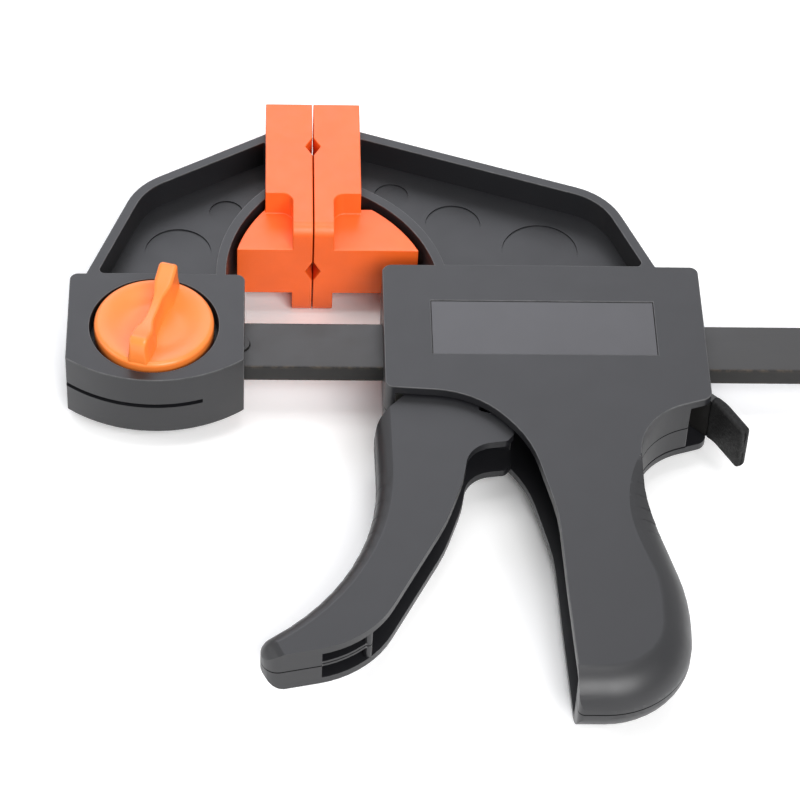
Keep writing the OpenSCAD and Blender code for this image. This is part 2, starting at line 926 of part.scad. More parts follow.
// Round wire wound along X, its ends closed
module coil(length, turns) {
    last = turns * coil_steps;
    sides = coil_sides;
    points = [
        for (i = [0:last])
            let (
                turn = 360 * i / coil_steps,
                height = wire_d / 2 + coil_rise(i / coil_steps, turns, length - wire_d)
            )
            for (j = [0:sides - 1])
                let (reach = coil_d / 2 + wire_d / 2 * cos(360 * j / sides))
                [
                    height + wire_d / 2 * sin(360 * j / sides),
                    reach * cos(turn),
                    reach * sin(turn)
                ]
    ];
    faces = concat(
        [[for (j = [0:sides - 1]) j]],
        [[for (j = [0:sides - 1]) last * sides + sides - 1 - j]],
        [
            for (i = [0:last - 1])
                for (j = [0:sides - 1])
                    let (k = (j + 1) % sides)
                    each [
                        [i * sides + j, (i + 1) * sides + j, (i + 1) * sides + k],
                        [i * sides + j, (i + 1) * sides + k, i * sides + k]
                    ]
        ]
    );
    polyhedron(points = points, faces = faces);
}

module drive_spring() {
    color([0.75, 0.75, 0.77])
        translate([drive_spring_x, spring_y, 0])
            coil(drive_rib_x - drive_spring_x, 8);
}

// Middle line of the release lever, from its pivot down past the bar and out to the thumb tail
lever_line = [
    [lever_pivot.x, lever_pivot.y, 0],
    [lever_pivot.x + (lever_pivot.y + 15.5) * tan(lever_tilt), -15.5, 7],
    [housing_right + 3.3, -27, 16],
    [housing_right + 8.9, -36.9, 0]
];

// Closed strip of width t round a line of corners
function strip(k, t) =
    let (
        n = len(k),
        side = function (i, s)
            let (
                q = [k[i].x, k[i].y],
                u = i == 0 ? unit([k[1].x, k[1].y] - q) : unit(q - [k[i - 1].x, k[i - 1].y]),
                v = i == n - 1 ? u : unit([k[i + 1].x, k[i + 1].y] - q),
                m = unit([-u.y, u.x] + [-v.y, v.x]),
                grow = u.x * v.y - u.y * v.x > 0 ? -1 : 1
            )
            [q.x + m.x * s * t / 2 / (m * [-u.y, u.x]), q.y + m.y * s * t / 2 / (m * [-u.y, u.x]),
                k[i].z == 0 ? 0 : max(k[i].z + grow * s * t / 2, 0.5)]
    )
    concat([for (i = [0:n - 1]) side(i, 1)], [for (i = [n - 1:-1:0]) side(i, -1)]);

// Steel brake plate that hangs on the bar, its tail bent out behind the housing
module release_lever() {
    color([0.5, 0.5, 0.52])
    difference() {
        union() {
            slab(-lever_w / 2, lever_w / 2)
                outline(strip(lever_line, lever_t));
            round_at(lever_pivot, lever_t / 2, -lever_w / 2, lever_w / 2);
        }
        box(
            lever_pivot.x - far, lever_pivot.x + far, -bar_edge - 0.45, bar_edge + 0.45,
            -bar_top - 0.3, bar_top + 0.3
        );
    }
}

lever_tail = unit([
    lever_line[3].x - lever_line[2].x,
    lever_line[3].y - lever_line[2].y
]);

lever_run = unit([
    lever_line[2].x - lever_line[1].x,
    lever_line[2].y - lever_line[1].y
]);

coat_line = [
    [lever_line[2].x - 3.6 * lever_run.x, lever_line[2].y - 3.6 * lever_run.y, 0],
    lever_line[2],
    [lever_line[3].x + lever_tail.x * 1.8 * coat_t, lever_line[3].y + lever_tail.y * 1.8 * coat_t, 0]
];

module release_lever_coat() {
    color([0.09, 0.09, 0.1])
    difference() {
        slab(-lever_w / 2 - coat_t, lever_w / 2 + coat_t)
            outline(strip(coat_line, lever_t + 2 * coat_t));
        slab(-lever_w / 2, lever_w / 2)
            outline(strip(lever_line, lever_t));
    }
}

module brake_spring() {
    x0 = drive_rib_x + rib_w;
    x1 = lever_pivot.x + (lever_pivot.y - spring_y) * tan(lever_tilt) - lever_t / 2 - 0.75;
    color([0.75, 0.75, 0.77])
        translate([x0, spring_y, 0])
            coil(x1 - x0, 6);
}

bar();
bar_stop_pins();
fixed_jaw();
fixed_jaw_pad();
knob();
knob_shaft();
knob_washer();
knob_screw();
housing_upper();
housing_lower();
housing_screws();
sliding_jaw_pad();
label_plate();
bar_guide_front();
bar_guide_rear();
trigger();
trigger_pin();
drive_plate_front();
drive_plate_rear();
drive_spring();
release_lever();
release_lever_coat();
brake_spring();
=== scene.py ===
"""Dresses the bar clamp: moulded heads, soft pads, dished knob, steel and the stage."""

import json
import math

import bmesh
import bpy
import numpy as np
from mathutils import Matrix, Vector
from mathutils.bvhtree import BVHTree

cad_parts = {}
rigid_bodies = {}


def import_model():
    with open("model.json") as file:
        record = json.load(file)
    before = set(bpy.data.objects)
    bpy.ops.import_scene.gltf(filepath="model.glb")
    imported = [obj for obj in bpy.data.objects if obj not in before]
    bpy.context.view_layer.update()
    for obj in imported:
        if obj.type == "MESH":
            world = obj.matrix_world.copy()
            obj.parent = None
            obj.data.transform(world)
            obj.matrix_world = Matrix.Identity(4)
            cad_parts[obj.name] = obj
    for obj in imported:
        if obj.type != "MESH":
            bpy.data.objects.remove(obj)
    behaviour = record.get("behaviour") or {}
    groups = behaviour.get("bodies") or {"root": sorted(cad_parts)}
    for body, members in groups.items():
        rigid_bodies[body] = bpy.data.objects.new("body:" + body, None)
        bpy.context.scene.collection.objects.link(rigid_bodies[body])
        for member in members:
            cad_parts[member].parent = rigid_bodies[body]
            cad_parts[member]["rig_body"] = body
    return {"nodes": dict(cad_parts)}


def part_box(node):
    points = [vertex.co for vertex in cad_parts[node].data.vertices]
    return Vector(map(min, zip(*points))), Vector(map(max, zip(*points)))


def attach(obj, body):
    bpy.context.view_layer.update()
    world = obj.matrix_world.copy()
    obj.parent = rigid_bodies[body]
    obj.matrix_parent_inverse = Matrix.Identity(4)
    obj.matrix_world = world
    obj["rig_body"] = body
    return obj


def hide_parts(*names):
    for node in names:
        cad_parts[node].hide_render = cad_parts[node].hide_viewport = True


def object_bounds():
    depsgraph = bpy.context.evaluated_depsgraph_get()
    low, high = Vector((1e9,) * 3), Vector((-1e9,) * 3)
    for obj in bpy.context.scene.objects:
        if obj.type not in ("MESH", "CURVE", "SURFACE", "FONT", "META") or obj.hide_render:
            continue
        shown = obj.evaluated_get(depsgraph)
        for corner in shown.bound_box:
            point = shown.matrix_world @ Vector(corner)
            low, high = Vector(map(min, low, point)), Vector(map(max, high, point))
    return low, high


bl_info = {
    "name": "Quick release bar clamp",
    "version": (1, 0, 0),
    "blender": (4, 5, 0),
    "location": "View3D > Sidebar > Clamp",
    "description": "Builds the finished surfaces of a quick release bar clamp",
    "category": "Object",
}

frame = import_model()
CAD_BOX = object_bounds()

# Sizes in metres below which corners merge, slivers go, and two heights or places count as one
WELD = 0.000002
SLIVER = 0.00003
LEVEL = 0.00001
# Length over which an upright edge is rounded, and turn in degrees over which an edge is sharp
UPRIGHT = 0.002
SHARP = 34.0

# Floor and sky as they light the clamp, and as the camera, a mirror or glass sees them
FLOOR_LIT, FLOOR_SEEN = 0.82, 1.18
SKY_LIT, SKY_SEEN = 0.36, 1.0
FLOOR_REACH = 3.0
FLOOR_GAP = 0.0002

# Softboxes: name, place, width, power in watts, tint
SOFTBOXES = (
    ("softbox_back", (-0.1, 1.38, 1.0), 1.1, 9.0, (0.88, 0.9, 1.0)),
    ("softbox_left", (-1.3, -0.2, 0.8), 0.8, 5.0, (1.0, 1.0, 1.0)),
    ("softbox_top", (0.0, 0.1, 1.5), 0.7, 6.0, (1.0, 1.0, 1.0)),
    ("softbox_front", (0.5, -1.3, 1.1), 1.0, 29.0, (1.0, 1.0, 1.0)),
)
SOFTBOX_AIM = (0.02, -0.02, 0.0)

# The camera's place, the way it looks and its right hand side
CAMERA_PLACE = (-0.01724, -0.68187, 0.72203)
CAMERA_AHEAD = (0.0433, 0.6756, -0.7360)
CAMERA_RIGHT = (0.99904, -0.02388, 0.03684)

# Inner steel parts that keep their own shape
STEEL_NODES = (
    "drive_plate_front",
    "drive_plate_rear",
    "drive_spring",
    "brake_spring",
    "housing_screws",
    "knob_screw",
    "knob_shaft",
    "knob_washer",
    "trigger_pin",
)


# ---------------------------------------------------------------- sizes and colours


class ClampSizes(bpy.types.PropertyGroup):
    """Sizes of the finish that a maker would change."""

    edge_round: bpy.props.FloatProperty(
        name="Moulded edge",
        description="Radius of the fine rounding along the edges of both heads",
        default=0.0003,
        min=0.0001,
        max=0.001,
        unit="LENGTH",
        precision=5,
    )
    pad_round: bpy.props.FloatProperty(
        name="Pad edge",
        description="Radius of the soft rounding along the pads' edges",
        default=0.0003,
        min=0.0001,
        max=0.0018,
        unit="LENGTH",
        precision=5,
    )
    bar_round: bpy.props.FloatProperty(
        name="Bar edge",
        description="Radius of the drawn steel bar's arrises",
        default=0.0009,
        min=0.0001,
        max=0.0012,
        unit="LENGTH",
        precision=5,
    )
    lens: bpy.props.FloatProperty(
        name="Lens",
        description="Focal length of the camera",
        default=0.15059,
        min=0.05,
        max=0.3,
        unit="CAMERA",
    )


class ClampColours(bpy.types.PropertyGroup):
    """Colours of the clamp's materials."""

    body: bpy.props.FloatVectorProperty(
        name="Heads",
        description="Dark grey nylon of both heads and the trigger",
        subtype="COLOR",
        size=3,
        min=0.0,
        max=1.0,
        default=(0.0095, 0.0097, 0.0115),
    )
    pad: bpy.props.FloatVectorProperty(
        name="Pads",
        description="Soft orange red rubber of the pads",
        subtype="COLOR",
        size=3,
        min=0.0,
        max=1.0,
        default=(0.97, 0.135, 0.014),
    )
    knob: bpy.props.FloatVectorProperty(
        name="Knob",
        description="Moulded orange plastic of the knob",
        subtype="COLOR",
        size=3,
        min=0.0,
        max=1.0,
        default=(0.96, 0.235, 0.04),
    )
    bar: bpy.props.FloatVectorProperty(
        name="Bar",
        description="Blackened steel of the bar",
        subtype="COLOR",
        size=3,
        min=0.0,
        max=1.0,
        default=(0.014, 0.0135, 0.013),
    )
    worn: bpy.props.FloatVectorProperty(
        name="Worn steel",
        description="Brownish steel where the bar's blackening has worn off",
        subtype="COLOR",
        size=3,
        min=0.0,
        max=1.0,
        default=(0.06, 0.046, 0.034),
    )
    label: bpy.props.FloatVectorProperty(
        name="Label",
        description="Bare label plate in the sliding head",
        subtype="COLOR",
        size=3,
        min=0.0,
        max=1.0,
        default=(0.04, 0.039, 0.043),
    )
    coat: bpy.props.FloatVectorProperty(
        name="Lever coat",
        description="Dipped coat on the release lever",
        subtype="COLOR",
        size=3,
        min=0.0,
        max=1.0,
        default=(0.008, 0.008, 0.008),
    )


# ---------------------------------------------------------------- materials


def add(tree, kind, inputs=None, **settings):
    """One shader node with its settings and the values of its sockets."""
    made = tree.nodes.new(kind)
    for name, value in settings.items():
        setattr(made, name, value)
    for name, value in (inputs or {}).items():
        if isinstance(value, bpy.types.NodeSocket):
            tree.links.new(value, made.inputs[name])
        else:
            made.inputs[name].default_value = value
    return made


def new_material(name):
    """An empty node material with a Principled shader, its tree and the object coordinates."""
    made = bpy.data.materials.new(name)
    made.use_nodes = True
    tree = made.node_tree
    shader = tree.nodes["Principled BSDF"]
    place = add(tree, "ShaderNodeTexCoord").outputs["Object"]
    return made, tree, shader, place


def noise(tree, place, scale, detail=3.0, rough=0.55):
    """Value of a noise pattern at a scale given in waves per metre."""
    return add(
        tree,
        "ShaderNodeTexNoise",
        {"Vector": place, "Scale": scale, "Detail": detail, "Roughness": rough},
    ).outputs["Fac"]


def span(tree, value, low, high, from_low=0.3, from_high=0.7):
    """A pattern's value carried from one range to another."""
    ends = {"From Min": from_low, "From Max": from_high, "To Min": low, "To Max": high}
    return add(tree, "ShaderNodeMapRange", {"Value": value, **ends}).outputs["Result"]


def blend_colours(tree, amount, one, two):
    """Colour between two others by an amount from 0 to 1."""
    # Places of the colours among a mix node's sockets
    first, second, result = 6, 7, 2
    return add(
        tree,
        "ShaderNodeMix",
        {"Factor": amount, first: one, second: two},
        data_type="RGBA",
    ).outputs[result]


def shade(colour, share):
    """The colour made lighter or darker by a share, with alpha."""
    return (*(min(1.0, c * share) for c in colour), 1.0)


def seen_directly(tree):
    """1 for rays that come straight from the camera, a mirror or glass, and 0 for the rest."""
    rays = add(tree, "ShaderNodeLightPath")
    seen = add(
        tree,
        "ShaderNodeMath",
        {0: rays.outputs["Is Camera Ray"], 1: rays.outputs["Is Glossy Ray"]},
        operation="MAXIMUM",
    )
    return add(
        tree,
        "ShaderNodeMath",
        {0: seen.outputs[0], 1: rays.outputs["Is Transmission Ray"]},
        operation="MAXIMUM",
    ).outputs[0]


def bump(tree, shader, height, strength, distance):
    """Fine relief on the shader's normal."""
    relief = add(
        tree,
        "ShaderNodeBump",
        {"Height": height, "Strength": strength, "Distance": distance},
    )
    tree.links.new(relief.outputs["Normal"], shader.inputs["Normal"])


def moulded(name, colour, rough, grain, depth, wear=0.0, seam=False):
    """Moulded plastic: soft clouds of tone, fine grain and a gloss that varies.

    Wear makes its rounded edges paler in patches, partly as wear and partly as a painted highlight,
    and seam gives it a parting line.
    """
    made, tree, shader, place = new_material(name)
    clouds = noise(tree, place, 55.0, 4.0)
    fine = noise(tree, place, grain, 2.0)
    tone = blend_colours(
        tree, span(tree, clouds, 0.0, 1.0), shade(colour, 0.94), shade(colour, 1.06)
    )
    if wear:
        # Paler patches on the rounded edges: partly wear, partly a painted highlight along the
        # edges
        edge = add(tree, "ShaderNodeAttribute", attribute_name="worn_and_highlit_edge").outputs["Fac"]
        patchy = span(tree, noise(tree, place, 300.0, 5.0), 0.25, wear)
        rubbed_and_highlit = add(tree, "ShaderNodeMath", {0: edge, 1: patchy}, operation="MULTIPLY").outputs[0]
        tone = blend_colours(tree, rubbed_and_highlit, tone, (*(0.1 + 0.9 * c for c in colour), 1.0))
    gloss = span(tree, noise(tree, place, 140.0, 5.0), rough - 0.02, rough + 0.02)
    tree.links.new(gloss, shader.inputs["Roughness"])
    if seam:
        # The parting line lies at height 0: a dark, dull groove 0.7 mm wide from lip to lip
        parts = add(tree, "ShaderNodeSeparateXYZ", {"Vector": place})
        off = add(tree, "ShaderNodeMath", {0: parts.outputs["Z"]}, operation="ABSOLUTE").outputs[0]
        groove = span(tree, off, 0.0, 4.0, 0.0001, 0.0003)
        fine = add(tree, "ShaderNodeMath", {0: fine, 1: groove}, operation="ADD").outputs[0]
        dark = span(tree, off, 0.85, 0.0, 0.00015, 0.00035)
        tone = blend_colours(tree, dark, tone, shade(colour, 0.2))
        sheen = span(tree, off, 0.0, 0.5, 0.0001, 0.00035)
        tree.links.new(sheen, shader.inputs["Specular IOR Level"])
    tree.links.new(tone, shader.inputs["Base Color"])
    bump(tree, shader, fine, 0.35, depth)
    return made


def rubber(name, colour):
    """Soft rubber: even colour, silky gloss, faint skin texture."""
    made, tree, shader, place = new_material(name)
    clouds = noise(tree, place, 90.0, 3.0)
    tone = blend_colours(
        tree, span(tree, clouds, 0.0, 1.0), shade(colour, 0.95), shade(colour, 1.05)
    )
    tree.links.new(tone, shader.inputs["Base Color"])
    gloss = span(tree, noise(tree, place, 260.0, 4.0), 0.42, 0.5)
    tree.links.new(gloss, shader.inputs["Roughness"])
    shader.inputs["Specular IOR Level"].default_value = 0.7
    bump(tree, shader, noise(tree, place, 3200.0, 2.0), 0.2, 0.00002)
    return made


def bar_steel(name, colour, worn):
    """Blackened drawn steel: mottled, with fine lines along the bar and wear on its arrises.

    The bar is 18 x 6 mm, so its arrises lie 9 mm to the side of its centre line and 3 mm above
    or below it.
    """
    made, tree, shader, place = new_material(name)
    parts = add(tree, "ShaderNodeSeparateXYZ", {"Vector": place})
    drawn = add(tree, "ShaderNodeMapping", {"Vector": place, "Scale": (0.06, 1.0, 1.0)})
    lines = noise(tree, drawn.outputs["Vector"], 900.0, 4.0)
    mottle = noise(tree, place, 160.0, 6.0, 0.65)
    aside = add(
        tree, "ShaderNodeMath", {0: parts.outputs["Y"]}, operation="ABSOLUTE"
    ).outputs[0]
    above = add(
        tree, "ShaderNodeMath", {0: parts.outputs["Z"]}, operation="ABSOLUTE"
    ).outputs[0]
    near_side = span(tree, aside, 0.0, 1.0, 0.0081, 0.0089)
    near_face = span(tree, above, 0.0, 1.0, 0.0019, 0.0029)
    arris = add(
        tree, "ShaderNodeMath", {0: near_side, 1: near_face}, operation="MULTIPLY"
    ).outputs[0]
    patchy = span(tree, noise(tree, place, 420.0, 7.0, 0.7), 0.0, 1.0, 0.44, 0.6)
    wear = add(
        tree, "ShaderNodeMath", {0: arris, 1: patchy}, operation="MULTIPLY"
    ).outputs[0]
    tone = blend_colours(
        tree, span(tree, mottle, 0.0, 1.0), shade(colour, 0.75), shade(colour, 1.3)
    )
    tone = blend_colours(tree, span(tree, lines, 0.0, 0.2), tone, shade(colour, 1.5))
    tone = blend_colours(tree, wear, tone, (*worn, 1.0))
    tree.links.new(tone, shader.inputs["Base Color"])
    sheen = span(tree, aside, 0.55, 0.25, 0.0082, 0.0089)
    tree.links.new(sheen, shader.inputs["Specular IOR Level"])
    gloss = span(tree, mottle, 0.36, 0.5)
    tree.links.new(gloss, shader.inputs["Roughness"])
    bump(tree, shader, lines, 0.15, 0.00002)
    return made


def bright_steel(name):
    """Zinc plated steel with fine grain."""
    made, tree, shader, place = new_material(name)
    grain = noise(tree, place, 700.0, 5.0)
    tone = blend_colours(
        tree, span(tree, grain, 0.0, 1.0), (0.5, 0.5, 0.52, 1.0), (0.66, 0.66, 0.67, 1.0)
    )
    tree.links.new(tone, shader.inputs["Base Color"])
    shader.inputs["Metallic"].default_value = 1.0
    tree.links.new(span(tree, grain, 0.28, 0.42), shader.inputs["Roughness"])
    bump(tree, shader, noise(tree, place, 2400.0, 3.0), 0.2, 0.00002)
    return made


def dipped_coat(name, colour):
    """Thin dipped rubber coat with a pebbled skin."""
    made, tree, shader, place = new_material(name)
    pebble = noise(tree, place, 1100.0, 3.0, 0.6)
    tone = blend_colours(
        tree, span(tree, pebble, 0.0, 1.0), shade(colour, 0.8), shade(colour, 1.7)
    )
    tree.links.new(tone, shader.inputs["Base Color"])
    tree.links.new(span(tree, pebble, 0.6, 0.42), shader.inputs["Roughness"])
    shader.inputs["Specular IOR Level"].default_value = 0.15
    bump(tree, shader, pebble, 0.7, 0.0003)
    return made


# ---------------------------------------------------------------- shapes


def on_outside(edge, tall):
    """True for an edge in one of the piece's two outer faces, or an upright edge of some length."""
    one, two = (corner.co for corner in edge.verts)
    if min(abs(one.z), abs(two.z)) > tall - LEVEL:
        return True
    return abs(one.z - two.z) > UPRIGHT and (one.xy - two.xy).length < LEVEL


def smooth_copy(node, name, width, segments, outside=False):
    """Merged copy of a solid with its sharp edges rounded and marked, and its flat faces kept flat.

    With outside set, only the edges that on_outside names are rounded, to their full width. A
    corner that this throws off the solid, beside an edge shorter than the rounding, goes back
    onto it.
    """
    mesh = frame["nodes"][node].data.copy()
    mesh.materials.clear()
    shape = bmesh.new()
    shape.from_mesh(mesh)
    bmesh.ops.remove_doubles(shape, verts=shape.verts, dist=WELD)
    bmesh.ops.dissolve_degenerate(shape, edges=shape.edges, dist=SLIVER)
    bmesh.ops.dissolve_limit(
        shape, angle_limit=math.radians(0.6), verts=shape.verts, edges=shape.edges
    )
    limit = math.radians(SHARP)
    edges = [e for e in shape.edges if e.is_manifold and e.calc_face_angle(0.0) > limit]
    if outside:
        tall = max(abs(corner.co.z) for corner in shape.verts)
        edges = [e for e in edges if on_outside(e, tall)]
    solid = BVHTree.FromBMesh(shape)
    rounded = bmesh.ops.bevel(
        shape,
        geom=edges,
        offset=width,
        offset_type="OFFSET",
        segments=segments,
        profile=0.5,
        affect="EDGES",
        clamp_overlap=not outside,
    )["faces"]
    for corner in shape.verts:
        nearest, _, _, off = solid.find_nearest(corner.co)
        if off > 1.5 * width:
            corner.co = nearest
    # Marks the rounded faces that the material paints paler: partly wear, partly a painted
    # highlight
    worn = shape.loops.layers.float.new("worn_and_highlit_edge")
    for face in rounded:
        for loop in face.loops:
            loop[worn] = 1.0
    for face in shape.faces:
        face.smooth = True
    for edge in shape.edges:
        edge.smooth = edge.calc_face_angle(0.0) < limit
    shape.to_mesh(mesh)
    shape.free()
    mesh.name = name
    made = bpy.data.objects.new(name, mesh)
    bpy.context.scene.collection.objects.link(made)
    flat = made.modifiers.new("flat_faces", "WEIGHTED_NORMAL")
    flat.keep_sharp = True
    return made


def surface(name, points, closed_u=False, closed_v=False):
    """Mesh of a grid of points (rows u, columns v), faces out where u cross v points out."""
    rows, columns = points.shape[:2]
    index = np.arange(rows * columns).reshape(rows, columns)
    if closed_u:
        index = np.vstack([index, index[:1]])
    if closed_v:
        index = np.hstack([index, index[:, :1]])
    quads = np.stack(
        [index[:-1, :-1], index[1:, :-1], index[1:, 1:], index[:-1, 1:]], axis=-1
    ).reshape(-1, 4)
    mesh = bpy.data.meshes.new(name)
    mesh.from_pydata(points.reshape(-1, 3).tolist(), [], quads.tolist())
    mesh.polygons.foreach_set("use_smooth", np.ones(len(quads), bool))
    made = bpy.data.objects.new(name, mesh)
    bpy.context.scene.collection.objects.link(made)
    return made


def close_up(piece, dist=1e-6):
    """Merges a surface's doubled points and turns its faces outward."""
    shape = bmesh.new()
    shape.from_mesh(piece.data)
    bmesh.ops.remove_doubles(shape, verts=shape.verts, dist=dist)
    bmesh.ops.dissolve_degenerate(shape, edges=shape.edges, dist=dist)
    bmesh.ops.recalc_face_normals(shape, faces=shape.faces)
    shape.to_mesh(piece.data)
    shape.free()
    return piece


def settle(piece, node, material):
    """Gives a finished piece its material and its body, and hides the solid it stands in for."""
    piece.data.materials.clear()
    piece.data.materials.append(material)
    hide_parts(node)
    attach(piece, frame["nodes"][node]["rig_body"])


def finish_solid(node, material):
    """Gives its material to a solid that keeps its own shape."""
    data = frame["nodes"][node].data
    data.materials.clear()
    data.materials.append(material)


def bent_line(first, corner, last, radius):
    """Length of a line whose one corner is an arc, and a function of distances along it.

    The function gives the line's points at those distances and its normals to the left.
    """
    first, corner, last = np.array(first), np.array(corner), np.array(last)
    one = (corner - first) / np.linalg.norm(corner - first)
    two = (last - corner) / np.linalg.norm(last - corner)
    bend = math.atan2(one[0] * two[1] - one[1] * two[0], one @ two)
    back = radius * math.tan(abs(bend) / 2)
    before = np.linalg.norm(corner - first) - back
    arc = radius * abs(bend)
    after = np.linalg.norm(last - corner) - back
    start = math.atan2(one[1], one[0])

    def at(along):
        on_arc = np.clip(along - before, 0.0, arc)
        heading = start + math.copysign(1.0, bend) * on_arc / radius
        turn = math.copysign(radius, bend)
        points = first + np.minimum(along, before)[:, None] * one
        points = points + np.maximum(along - before - arc, 0.0)[:, None] * two
        points[:, 0] += turn * (np.sin(heading) - math.sin(start))
        points[:, 1] += turn * (math.cos(start) - np.cos(heading))
        return points, np.stack([-np.sin(heading), np.cos(heading)], -1)

    return before + arc + after, at


def dipped_tail(line, half_thick, half_wide, corner, end):
    """Rounded oblong section carried along a bent line, drawn in to a flat face at both ends.

    Each corner of the section is a quarter circle. Near an end the section's half sizes shrink by
    the end's radius times 1 - cos of an angle, while the section moves on by that radius times the
    angle's sine.
    """
    length, at = line
    turn = np.linspace(0.0, math.pi / 2, 7)
    inner = np.linspace(end, length - end, 33)
    moved = end * np.sin(turn[1:])
    along = np.concatenate([end - moved[::-1], inner, length - end + moved])
    closing = 1.0 - np.cos(turn[1:])
    shrink = end * np.concatenate([closing[::-1], np.zeros(len(inner)), closing])
    quarter = np.linspace(0.0, math.pi / 2, 6)
    angle = np.concatenate([quarter + side * math.pi / 2 for side in range(4)])
    side_x = np.repeat([1.0, -1.0, -1.0, 1.0], len(quarter))
    side_z = np.repeat([1.0, 1.0, -1.0, -1.0], len(quarter))
    thick = (half_thick - shrink)[:, None]
    wide = (half_wide - shrink)[:, None]
    across = (thick - corner) * side_x + corner * np.cos(angle)
    height = (wide - corner) * side_z + corner * np.sin(angle)
    closed = np.array([0.0, 0.5])[:, None]
    across = np.vstack([closed * across[0], across, closed[::-1] * across[-1]])
    height = np.vstack([closed * height[0], height, closed[::-1] * height[-1]])
    points, normals = at(np.concatenate([[0.0, 0.0], along, [length, length]]))
    grid = np.empty(across.shape + (3,))
    grid[..., 0] = points[:, :1] + normals[:, :1] * across
    grid[..., 1] = points[:, 1:] + normals[:, 1:] * across
    grid[..., 2] = height
    return grid


def knob_disc(centre, radius, top, low, under, dish):
    """Disc turned round the knob's axis: a rolled rim that falls in one sweep to a shallow dish.

    The rim is a quarter ellipse from the side up to its crest. Inside it the height drops by the
    dish's depth times s squared times (3 - 2 s), where s grows from the crest inward and stays 1 in
    the middle. Underneath, a hub comes down from a wider, shallow boss, and the outer edge is cut
    off at a slant.
    """
    roll_w, roll_h, sweep = 0.0013, 0.0013, 0.0085
    hub, boss, boss_drop, slant = 0.0055, 0.0095, 0.0008, 0.0006
    quarter = np.linspace(0.0, math.pi / 2, 11)
    rim = np.stack(
        [radius - roll_w + roll_w * np.cos(quarter), top - roll_h + roll_h * np.sin(quarter)], -1
    )
    inward = np.linspace(radius - roll_w, 0.0, 41)
    s = np.clip((radius - roll_w - inward) / sweep, 0.0, 1.0)
    bowl = np.stack([inward, top - dish * s**2 * (3.0 - 2.0 * s)], -1)
    foot = np.array(
        [
            [0.0, low],
            [hub, low],
            [hub, under - boss_drop],
            [boss, under - boss_drop],
            [boss, under],
            [radius - slant, under],
            [radius, under + slant],
        ]
    )
    profile = np.vstack([foot, rim, bowl[1:]])
    turn = np.linspace(0.0, 2 * math.pi, 129)[:-1]
    points = np.empty((len(turn), len(profile), 3))
    points[..., 0] = centre[0] + np.outer(np.cos(turn), profile[:, 0])
    points[..., 1] = centre[1] + np.outer(np.sin(turn), profile[:, 0])
    points[..., 2] = profile[:, 1]
    return points


def knob_grip(centre, angle, half_length, waist, end, floor, top, saddle):
    """Waisted wall across the knob, a section carried from one end to the other.

    s runs from 0 in the middle to 1 at the ends. From swell_from on, and over swell_over, the half
    width goes from the waist to the end by a smooth step. The crest sags by the saddle times 1 less
    the square of s over sag_over. Near an end a quarter ellipse takes the crest and the flanks in
    to the flat end face, which is the last section shrunk to a point. Each section is a flank that
    flares into the dish by (1 - height) cubed, a quarter round at the top edge and a flat land.
    """
    end_round, side_round, top_edge, flare, draft = 0.0026, 0.0009, 0.0010, 0.0007, 0.0002
    swell_from, swell_over, sag_over = 0.2, 0.42, 0.9
    straight = half_length - end_round
    turn = np.linspace(0.0, math.pi / 2, 9)[1:]
    run = np.linspace(-straight, straight, 61)
    tip = straight + end_round * np.sin(turn)
    along = np.concatenate([-tip[::-1], run, tip])
    closing = np.concatenate([(1 - np.cos(turn))[::-1], np.zeros(len(run)), 1 - np.cos(turn)])
    s = np.abs(along) / half_length
    step = np.clip((s - swell_from) / swell_over, 0.0, 1.0)
    half = waist + (end - waist) * step**2 * (3.0 - 2.0 * step) - side_round * closing
    sag = saddle * (1.0 - np.clip(s / sag_over, 0.0, 1.0) ** 2)
    crest = top - sag - end_round * closing - floor

    rise = np.linspace(0.0, 1.0, 15)
    round_turn = np.linspace(0.0, math.pi / 2, 8)[1:]
    land = np.linspace(1.0, 0.0, 5)[1:]
    edge = np.minimum(top_edge, 0.5 * half)[:, None]
    flank_x = half[:, None] + draft * (1 - rise) + flare * (1 - rise) ** 3
    flank_z = (crest[:, None] - edge) * rise
    round_x = half[:, None] - edge + edge * np.cos(round_turn)
    round_z = crest[:, None] - edge + edge * np.sin(round_turn)
    land_x = (half[:, None] - edge) * land
    land_z = crest[:, None] * np.ones_like(land)
    side_x = np.hstack([flank_x, round_x, land_x])
    side_z = np.hstack([flank_z, round_z, land_z])
    across = np.hstack([side_x, -side_x[:, -2::-1]])
    height = np.hstack([side_z, side_z[:, -2::-1]])

    shrink = np.array([0.0, 0.35, 0.7])
    first_x, first_z = shrink[:, None] * across[0], shrink[:, None] * height[0]
    last_x, last_z = shrink[::-1, None] * across[-1], shrink[::-1, None] * height[-1]
    across = np.vstack([first_x, across, last_x])
    height = np.vstack([first_z, height, last_z])
    along = np.concatenate([np.full(3, along[0]), along, np.full(3, along[-1])])
    cos_a, sin_a = math.cos(angle), math.sin(angle)
    points = np.empty(across.shape + (3,))
    points[..., 0] = centre[0] + across * cos_a - along[:, None] * sin_a
    points[..., 1] = centre[1] + across * sin_a + along[:, None] * cos_a
    points[..., 2] = floor + height
    return points


# ---------------------------------------------------------------- stage


def lay_floor():
    """White paper just below the clamp."""
    low, _ = CAD_BOX
    reach = np.array([-FLOOR_REACH, FLOOR_REACH])
    grid = np.empty((2, 2, 3))
    grid[..., 0] = reach[:, None]
    grid[..., 1] = reach[None, :]
    grid[..., 2] = low.z - FLOOR_GAP
    floor = surface("floor", grid)
    made, tree, shader, _ = new_material("floor_paper")
    shader.inputs["Roughness"].default_value = 0.6
    shader.inputs["Specular IOR Level"].default_value = 0.2
    lit = (FLOOR_LIT, FLOOR_LIT, FLOOR_LIT, 1.0)
    seen = (FLOOR_SEEN, FLOOR_SEEN, FLOOR_SEEN, 1.0)
    paper = blend_colours(tree, seen_directly(tree), lit, seen)
    tree.links.new(paper, shader.inputs["Base Color"])
    floor.data.materials.append(made)


